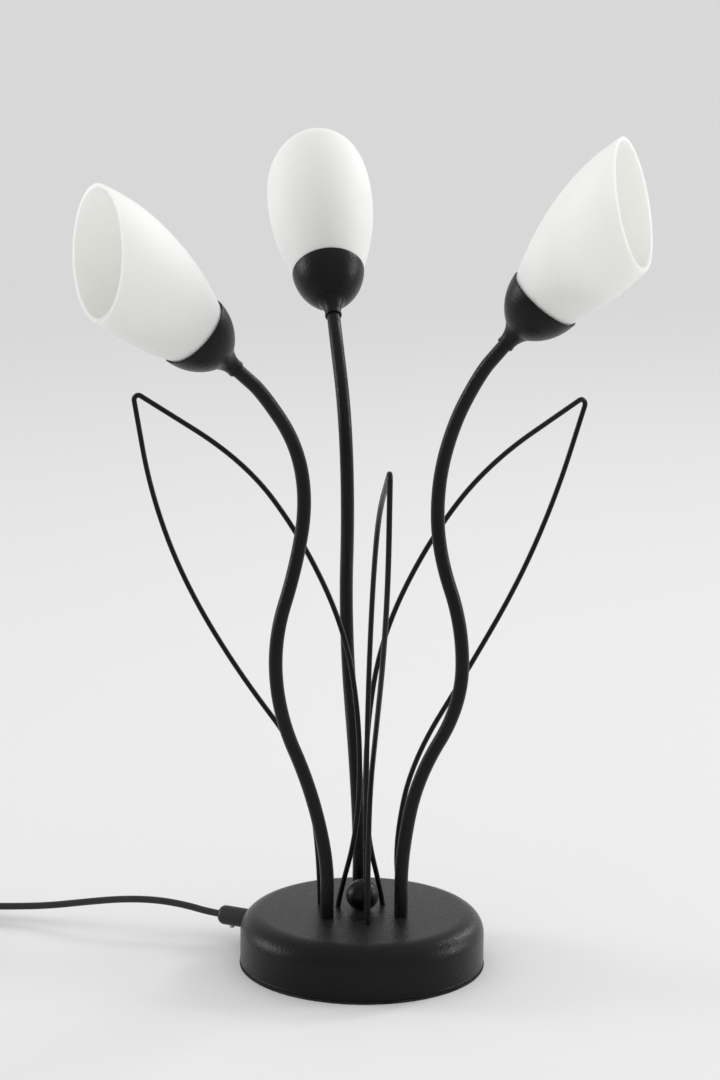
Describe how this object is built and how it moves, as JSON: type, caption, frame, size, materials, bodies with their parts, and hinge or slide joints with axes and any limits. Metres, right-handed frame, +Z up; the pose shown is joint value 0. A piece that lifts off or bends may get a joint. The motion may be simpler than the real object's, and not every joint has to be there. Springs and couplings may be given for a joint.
{
  "type": "table lamp",
  "caption": "Table lamp with obliquely cut opal glass flowers on bent black tube stems, wire loop leaves, a round weighted base and a corded rocker switch.",
  "frame": {"origin": "centre of the base pad's underside, on the table", "axes": "+Z up, -Y towards the front, +X to the right as seen from the front"},
  "size_m": [0.5331, 0.3462, 0.511],
  "materials": {
    "black_coat": "satin powder coat",
    "foam": "matt foam",
    "weight_iron": "as cast",
    "zinc_steel": "zinc plated",
    "terminal_white": "matt",
    "black_plastic": "satin",
    "porcelain": "matt",
    "opal_glass": "satin opal",
    "clear_glass": "clear",
    "black_gloss": "semi-gloss",
    "black_cord": "satin sheath",
    "black_plug": "moulded, fine texture",
    "nickel_pins": "nickel plated"
  },
  "bodies": {
    "lamp": {"base_cover": "black_coat", "ball_nut": "black_coat", "foot_pad": "foam", "base_weight": "weight_iron", "centre_stud": "zinc_steel", "stud_nut": "zinc_steel", "distance_tube": "zinc_steel", "grip_screw": "zinc_steel", "terminal_block": "terminal_white", "grip_body": "black_plastic", "grip_nut": "black_plastic", "cord_tie": "black_plastic", "stem_left": "black_coat", "neck_left": "black_coat", "cup_left": "black_coat", "stem_nut_left": "zinc_steel", "nipple_left": "zinc_steel", "nipple_nut_left": "zinc_steel", "lampholder_left": "porcelain", "glass_left": "opal_glass", "glass_ring_left": "black_plastic", "bulb_left": "clear_glass", "stem_right": "black_coat", "neck_right": "black_coat", "cup_right": "black_coat", "stem_nut_right": "zinc_steel", "nipple_right": "zinc_steel", "nipple_nut_right": "zinc_steel", "lampholder_right": "porcelain", "glass_right": "opal_glass", "glass_ring_right": "black_plastic", "bulb_right": "clear_glass", "stem_back": "black_coat", "neck_back": "black_coat", "cup_back": "black_coat", "stem_nut_back": "zinc_steel", "nipple_back": "zinc_steel", "nipple_nut_back": "zinc_steel", "lampholder_back": "porcelain", "glass_back": "opal_glass", "glass_ring_back": "black_plastic", "bulb_back": "clear_glass", "leaf_left": "black_coat", "leaf_strip_left": "zinc_steel", "leaf_right": "black_coat", "leaf_strip_right": "zinc_steel", "leaf_front": "black_coat", "leaf_strip_front": "zinc_steel", "switch_bottom": "black_gloss", "switch_top": "black_gloss", "cord_lead": "black_cord", "cord_link": "black_cord", "cord_tail": "black_cord", "cord_coil": "black_cord", "plug_body": "black_plug", "plug_pin_left": "nickel_pins", "plug_pin_right": "nickel_pins"},
    "rocker": {"switch_rocker": "black_gloss"}
  },
  "joints": [
    {"name": "rocker_hinge", "type": "hinge", "parent": "lamp", "child": "rocker", "pos_m": [-0.27096, 0.07472, 0.0136], "axis": [-0.0523, -0.9986, 0], "range_deg": [0, 14]}
  ]
}
